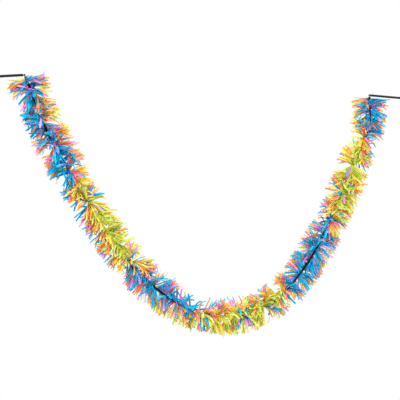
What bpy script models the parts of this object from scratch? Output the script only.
"""A fringed tissue paper garland, hung as a swag from a black ribbon at each end.

Metres, +Z up, +X from the left end to the right end, with the front towards -Y.
The origin is where the loop of the left hanging ribbon bears on its hook.
The stack, from its blue face to its lime face: core ribbon, then five packs of tissue.
"""

import math
from bisect import bisect

import bmesh
import bpy
from mathutils import Matrix, Vector
from mathutils.geometry import interpolate_bezier

# The swag's line, from the middle of the left end tie to that of the right one
SWAG_WIDTH = 1.089
SWAG_DROP = 0.688
# Across as shares of the width, and down as shares of the drop
ROUTE_SHARES = [
    (0.0, 0.0), (0.027, 0.1), (0.052, 0.2), (0.084, 0.297), (0.117, 0.391), (0.153, 0.485),
    (0.189, 0.576), (0.228, 0.666), (0.27, 0.751), (0.317, 0.83), (0.37, 0.901), (0.428, 0.957),
    (0.493, 0.992), (0.561, 0.999), (0.628, 0.979), (0.69, 0.932), (0.744, 0.866), (0.79, 0.785),
    (0.829, 0.695), (0.863, 0.601), (0.897, 0.507), (0.925, 0.409), (0.95, 0.308), (0.98, 0.211),
    (1.0, 0.109), (1.0, 0.0),
]
STEPS_IN_SPAN = 24
# How the stack turns about its core: the place along the fringe, and the share of a full
# turn from the blue face looking at the front towards its looking at the swag's outside
FACING_SHARES = [
    (0.0, 0.0), (0.02, 0.07), (0.045, 0.19), (0.08, 0.14), (0.105, 0.02), (0.14, 0.07),
    (0.157, 0.26), (0.18, 0.38), (0.23, 0.38), (0.275, 0.4), (0.305, 0.4), (0.325, 0.24),
    (0.343, 0.03), (0.395, -0.03), (0.425, -0.17), (0.465, -0.36), (0.5, -0.43), (0.53, -0.48),
    (0.56, -0.45), (0.592, -0.48), (0.612, -0.73), (0.63, -0.97), (0.655, -1.07), (0.7, -1.07),
    (0.738, -1.1), (0.765, -1.24), (0.783, -1.5), (0.85, -1.56), (0.897, -1.57), (0.912, -1.74),
    (0.93, -1.9), (0.95, -1.99), (0.97, -2.06), (1.0, -2.09),
]

# The tissue: each colour is a pack of plies, cut in lengths and fringed along both edges
SPINE_WIDTH = 0.007  # the uncut middle, as wide as the ribbon that it lies on
PACK_THICKNESS = 0.0008
STRAND_WIDTH = 0.0045
STRAND_LENGTH = 0.052
LENGTH_GAP = 0.001  # between two lengths that follow each other
FIT_GAP = 0.0003  # between pieces that touch
END_CLEAR = 0.0055  # from the middle of an end tie to the first strip
PACKS = ["blue", "pink", "orange", "yellow", "lime"]
# Where the ties are in each length, as shares of it
TIE_SHARES = [
    (0.1, 0.28, 0.43, 0.61, 0.82),
    (0.13, 0.28, 0.46, 0.7, 0.85),
    (0.16, 0.31, 0.48, 0.64, 0.84),
    (0.07, 0.28, 0.5, 0.7, 0.9),
]
LENGTHS = len(TIE_SHARES)
# How far each pack's strands lean towards the blue face, in quarter turns
LEAN_SHARES = [0.45, 0.22, 0.0, -0.22, -0.45]
# How far each pack's strand tips lie along the core from their roots, in strand spacings
FAN_SHARES = [0.4, -0.2, 0.0, 0.2, -0.4]

# The black ribbons
RIBBON_THICKNESS = 0.0008
RISER_WIDTH = 0.0026  # where the core ribbon is gathered into an end tie
LEFT_RUN = 0.07  # from the end tie to the loop
RIGHT_RUN = 0.124
LEFT_DIP = math.radians(6.5)  # how far a ribbon slopes down on its way out
RIGHT_DIP = math.radians(1.5)
LOOP_LENGTH = 0.03
LOOP_WIDTH = 0.014
LOOP_STEPS = 18
TAIL_LENGTH = 0.012  # the folded back end, sewn to the run

# The thread that binds the stack, and each ribbon to the next
TIE_WIDTH = 0.0025
TIE_THICKNESS = 0.0008
TIE_CLEARANCE = 0.0004
TIE_CHAMFER_SHARE = 0.3
PINCH_SHARE = 0.75  # how far a tie draws the stack in
END_TIE_RADIUS = 0.0032
END_TIE_SEGMENTS = 14
END_TIE_RINGS = 8

COLOURS = {
    "blue": (0.01, 0.30, 0.68),
    "pink": (0.90, 0.20, 0.60),
    "orange": (1.0, 0.33, 0.05),
    "yellow": (0.90, 0.72, 0.16),
    "lime": (0.52, 0.68, 0.05),
    "ribbon": (0.012, 0.012, 0.014),
    "thread": (0.02, 0.02, 0.022),
}
ROUGHNESS = {"ribbon": 0.6, "thread": 0.8}
PAPER_ROUGHNESS = 0.85

CORNER_SIGNS = [(1, 1), (-1, 1), (-1, -1), (1, -1)]
LAYER_PITCH = PACK_THICKNESS + FIT_GAP
STACK_HALF = LAYER_PITCH * (len(PACKS) - 1) / 2 + PACK_THICKNESS / 2
RIBBON_LEVEL = STACK_HALF + FIT_GAP + RIBBON_THICKNESS / 2


def clear_scene():
    for thing in list(bpy.data.objects):
        bpy.data.objects.remove(thing, do_unlink=True)


def material(name):
    made = bpy.data.materials.new(name)
    made.use_nodes = True
    shader = made.node_tree.nodes["Principled BSDF"]
    shader.inputs["Base Color"].default_value = (*COLOURS[name], 1.0)
    shader.inputs["Roughness"].default_value = ROUGHNESS.get(name, PAPER_ROUGHNESS)
    shader.inputs["Metallic"].default_value = 0.0
    return made


def add(name, mesh, parent, place=None):
    thing = bpy.data.objects.new(name, mesh)
    bpy.context.scene.collection.objects.link(thing)
    thing.parent = parent
    if place is not None:
        thing.matrix_local = place
    return thing


def mesh_from(bm, name, slot):
    mesh = bpy.data.meshes.new(name)
    bmesh.ops.recalc_face_normals(bm, faces=bm.faces)
    bmesh.ops.triangulate(bm, faces=bm.faces[:], quad_method="FIXED")
    bm.to_mesh(mesh)
    bm.free()
    mesh.materials.append(slot)
    return mesh


def route_points():
    """The core's line as closely spaced points, from a smooth curve through the route."""
    corners = [Vector((x * SWAG_WIDTH, 0, -z * SWAG_DROP)) for x, z in ROUTE_SHARES]
    last = len(corners) - 1
    slopes = [(corners[min(i + 1, last)] - corners[max(i - 1, 0)]) / 6 for i in range(last + 1)]
    points = [corners[0]]
    for i in range(last):
        a, b = corners[i], corners[i + 1]
        points += interpolate_bezier(a, a + slopes[i], b - slopes[i + 1], b, STEPS_IN_SPAN + 1)[1:]
    return points


class Core:
    """The swag's line, and how the stack is turned along it."""

    def __init__(self):
        self.points = route_points()
        self.along = [0.0]
        for a, b in zip(self.points, self.points[1:]):
            self.along.append(self.along[-1] + (b - a).length)
        self.length = self.along[-1]
        self.strip_length = (self.length - 2 * END_CLEAR) / LENGTHS

    def place(self, s):
        i = min(max(bisect(self.along, s) - 1, 0), len(self.points) - 2)
        a, b = self.points[i], self.points[i + 1]
        return a + (b - a) * ((s - self.along[i]) / (self.along[i + 1] - self.along[i]))

    def facing(self, s):
        """The stack's turn at s, in radians."""
        share = min(max((s - END_CLEAR) / (self.length - 2 * END_CLEAR), 0.0), 1.0)
        i = min(bisect([at for at, _ in FACING_SHARES], share), len(FACING_SHARES) - 1)
        (before, turn), (after, next_turn) = FACING_SHARES[i - 1], FACING_SHARES[i]
        return math.tau * (turn + (next_turn - turn) * (share - before) / (after - before))

    def frame(self, s):
        """The place at s, and the directions along the core, across the stack and out of
        its blue face."""
        reach = SPINE_WIDTH / 4
        ahead = self.place(min(s + reach, self.length))
        behind = self.place(max(s - reach, 0))
        tangent = (ahead - behind).normalized()
        outside = Vector((tangent.z, 0, -tangent.x))
        front = Vector((0, -1, 0))
        turn = self.facing(s)
        out = front * math.cos(turn) + outside * math.sin(turn)
        return self.place(s), tangent, out.cross(tangent), out

    def matrix(self, s):
        place, tangent, across, out = self.frame(s)
        turned = Matrix((tangent, across, out)).transposed().to_4x4()
        return Matrix.Translation(place) @ turned


def tie_cells(core, length_number):
    """The ties of one length, each with the stretch that it binds: (near, tie, far)."""
    start = END_CLEAR + core.strip_length * length_number
    ties = [start + share * core.strip_length for share in TIE_SHARES[length_number]]
    bounds = [(a + b) / 2 for a, b in zip(ties, ties[1:])]
    return list(zip([start, *bounds], ties, [*bounds, start + core.strip_length]))


def stations(core, length_number):
    """Where a strip has its cross-sections: the place along the core, whether a tie pinches
    the stack there, and the strand spacing where a strand starts there, or else zero."""
    found = []
    for near, tie, far in tie_cells(core, length_number):
        before, after = (near + tie) / 2, (tie + far) / 2
        spacing = after - before
        found += [
            (near, False, 0),
            (before - STRAND_WIDTH / 2, False, spacing),
            (before + STRAND_WIDTH / 2, False, 0),
            (tie - TIE_WIDTH / 2, True, 0),
            (tie + TIE_WIDTH / 2, True, 0),
            (after - STRAND_WIDTH / 2, False, spacing),
            (after + STRAND_WIDTH / 2, False, 0),
        ]
    start = END_CLEAR + core.strip_length * length_number
    found[0] = (start + LENGTH_GAP / 2, False, 0)
    found.append((start + core.strip_length - LENGTH_GAP / 2, False, 0))
    return found


def half_width(pinched):
    return SPINE_WIDTH / 2 * (PINCH_SHARE if pinched else 1.0)


def section(bm, core, s, level, half_across, half_thick):
    """Four corners of a flat layer's cross-section."""
    place, _, across, out = core.frame(s)
    middle = place + out * level
    side = across * half_across
    up = out * half_thick
    return [bm.verts.new(middle + a * side + b * up) for a, b in CORNER_SIGNS]


def join_sections(bm, rings):
    """Walls between the cross-sections and a cap on each end; the walls of each cell, in order.

    The lower wall starts at another corner than the upper one, so that both are split along
    the same diagonal, and twisted layers that lie on each other keep their gap.
    """
    cells = []
    for ring, following in zip(rings, rings[1:]):
        upper = bm.faces.new((ring[0], ring[1], following[1], following[0]))
        near_side = bm.faces.new((ring[1], ring[2], following[2], following[1]))
        lower = bm.faces.new((ring[3], following[3], following[2], ring[2]))
        far_side = bm.faces.new((ring[3], ring[0], following[0], following[3]))
        cells.append((upper, near_side, lower, far_side))
    bm.faces.new(rings[0])
    bm.faces.new(list(reversed(rings[-1])))
    bm.normal_update()
    return cells


def pull_strand(bm, core, wall, s, side, lean, shift):
    """Pulls one strand out of a strip's edge."""
    _, tangent, across, out = core.frame(s)
    reach = across * (side * math.cos(lean)) + out * math.sin(lean)
    made = bmesh.ops.extrude_discrete_faces(bm, faces=[wall])
    tip = made["faces"][0]
    bmesh.ops.translate(bm, vec=reach * STRAND_LENGTH + tangent * shift, verts=tip.verts[:])


def strip_mesh(core, pack_number, length_number, slot):
    """One pack of plies in one length: its uncut spine, and the strands along both edges."""
    bm = bmesh.new()
    level = LAYER_PITCH * ((len(PACKS) - 1) / 2 - pack_number)
    lean = LEAN_SHARES[pack_number] * math.pi / 2
    found = stations(core, length_number)
    rings = [section(bm, core, s, level, half_width(p), PACK_THICKNESS / 2) for s, p, _ in found]
    cells = join_sections(bm, rings)
    for (s, _, spacing), (_, near_side, _, far_side) in zip(found, cells):
        if spacing:
            middle = s + STRAND_WIDTH / 2
            fan = FAN_SHARES[pack_number] * spacing
            pull_strand(bm, core, far_side, middle, 1, lean, fan)
            pull_strand(bm, core, near_side, middle, -1, lean, -fan)
    return mesh_from(bm, f"{PACKS[pack_number]}_{length_number + 1}", slot)


def core_ribbon_mesh(core, slot):
    """The ribbon along the blue face, gathered towards the end tie at each end."""
    bm = bmesh.new()
    near_tie = END_TIE_RADIUS + FIT_GAP
    flat = END_CLEAR - FIT_GAP
    half = RIBBON_THICKNESS / 2
    rings = [
        section(bm, core, near_tie, 0, RISER_WIDTH / 2, half),
        section(bm, core, flat, RIBBON_LEVEL, half_width(False), half),
    ]
    for length_number in range(LENGTHS):
        for s, pinched, _ in stations(core, length_number):
            rings.append(section(bm, core, s, RIBBON_LEVEL, half_width(pinched), half))
    rings.append(section(bm, core, core.length - flat, RIBBON_LEVEL, half_width(False), half))
    rings.append(section(bm, core, core.length - near_tie, 0, RISER_WIDTH / 2, half))
    join_sections(bm, rings)
    return mesh_from(bm, "core_ribbon", slot)


def tie_outline(grow):
    """A tie's outline across the stack, with its corners cut off: (across, out of the blue face)."""
    side = half_width(True) + grow
    top = RIBBON_LEVEL + RIBBON_THICKNESS / 2 + grow
    bottom = -STACK_HALF - grow
    cut = TIE_CHAMFER_SHARE * (TIE_CLEARANCE + TIE_THICKNESS)
    return [
        (side - cut, top), (side, top - cut), (side, bottom + cut), (side - cut, bottom),
        (cut - side, bottom), (-side, bottom + cut), (-side, top - cut), (cut - side, top),
    ]


def tie_mesh(slot):
    """Turns of thread round the stack, in the frame of Core.matrix."""
    bm = bmesh.new()
    rings = []
    for outline, x in (
        (tie_outline(TIE_CLEARANCE), -TIE_WIDTH / 2),
        (tie_outline(TIE_CLEARANCE + TIE_THICKNESS), -TIE_WIDTH / 2),
        (tie_outline(TIE_CLEARANCE + TIE_THICKNESS), TIE_WIDTH / 2),
        (tie_outline(TIE_CLEARANCE), TIE_WIDTH / 2),
    ):
        rings.append([bm.verts.new((x, across, out)) for across, out in outline])
    for ring, following in zip(rings, rings[1:] + rings[:1]):
        for i in range(len(ring)):
            j = (i + 1) % len(ring)
            bm.faces.new((ring[i], ring[j], following[j], following[i]))
    return mesh_from(bm, "tie", slot)


def end_tie_mesh(slot):
    bm = bmesh.new()
    bmesh.ops.create_uvsphere(
        bm, u_segments=END_TIE_SEGMENTS, v_segments=END_TIE_RINGS, radius=END_TIE_RADIUS
    )
    mesh = mesh_from(bm, "end_tie", slot)
    mesh.shade_smooth()
    return mesh


def loop_point(share, run):
    """A place on the hanging ribbon's loop, seen from above, with the run along +X.

    The loop is a teardrop, widest a third of the way round.
    """
    side = (RIBBON_THICKNESS + FIT_GAP) / 2
    widest = math.sin(math.tau / 3) * math.sin(math.pi / 3) ** 2
    swing = math.sin(math.tau * share) * math.sin(math.pi * share) ** 2 / widest
    x = run + LOOP_LENGTH * (1 - math.cos(math.tau * share)) / 2
    y = swing * LOOP_WIDTH / 2 + side * math.cos(math.pi * share)
    return Vector((x, y, 0))


def hanging_ribbon_mesh(name, run, slot):
    """A ribbon that runs out from its end tie, round a loop and back against itself."""
    path = [loop_point(i / LOOP_STEPS, run) for i in range(LOOP_STEPS + 1)]
    start = Vector((END_TIE_RADIUS + FIT_GAP, path[0].y, 0))
    tail = path[-1] - Vector((TAIL_LENGTH, 0, 0))
    path = [start, *path, tail]
    bm = bmesh.new()
    up = Vector((0, 0, SPINE_WIDTH / 2))
    rings = []
    for i, place in enumerate(path):
        along = (path[min(i + 1, len(path) - 1)] - path[max(i - 1, 0)]).normalized()
        side = Vector((-along.y, along.x, 0)) * (RIBBON_THICKNESS / 2)
        rings.append([bm.verts.new(place + a * side + b * up) for a, b in CORNER_SIGNS])
    join_sections(bm, rings)
    return mesh_from(bm, name, slot)


def loop_reach(run):
    """From the middle of an end tie to where the hook bears on the loop."""
    return run + LOOP_LENGTH - RIBBON_THICKNESS / 2


def empty(name, place):
    made = bpy.data.objects.new(name, None)
    bpy.context.scene.collection.objects.link(made)
    made.location = place
    return made


def main():
    clear_scene()
    slots = {name: material(name) for name in COLOURS}
    core = Core()
    reach = loop_reach(LEFT_RUN)
    left = Vector((reach * math.cos(LEFT_DIP), 0, reach * math.sin(LEFT_DIP)))
    # The garland swings about the line through the two end ties
    swing_axis = empty("swing_axis", left)
    ends = empty("fixed_ends", left)

    for pack_number, pack in enumerate(PACKS):
        for length_number in range(LENGTHS):
            mesh = strip_mesh(core, pack_number, length_number, slots[pack])
            add(f"{pack}_strip_{length_number + 1}", mesh, swing_axis)
    add("core_ribbon", core_ribbon_mesh(core, slots["ribbon"]), swing_axis)

    tie = tie_mesh(slots["thread"])
    ties = [s for number in range(LENGTHS) for _, s, _ in tie_cells(core, number)]
    for number, s in enumerate(ties):
        add(f"tie_{number + 1:02d}", tie, swing_axis, core.matrix(s))

    end_tie = end_tie_mesh(slots["thread"])
    right = Matrix.Translation(core.points[-1])
    add("left_end_tie", end_tie, ends)
    add("right_end_tie", end_tie, ends, right)
    left_turn = Matrix.Rotation(math.pi, 4, "Z") @ Matrix.Rotation(LEFT_DIP, 4, "Y")
    right_turn = right @ Matrix.Rotation(RIGHT_DIP, 4, "Y")
    left_mesh = hanging_ribbon_mesh("left_hanging_ribbon", LEFT_RUN, slots["ribbon"])
    right_mesh = hanging_ribbon_mesh("right_hanging_ribbon", RIGHT_RUN, slots["ribbon"])
    add("left_hanging_ribbon", left_mesh, ends, left_turn)
    add("right_hanging_ribbon", right_mesh, ends, right_turn)


main()
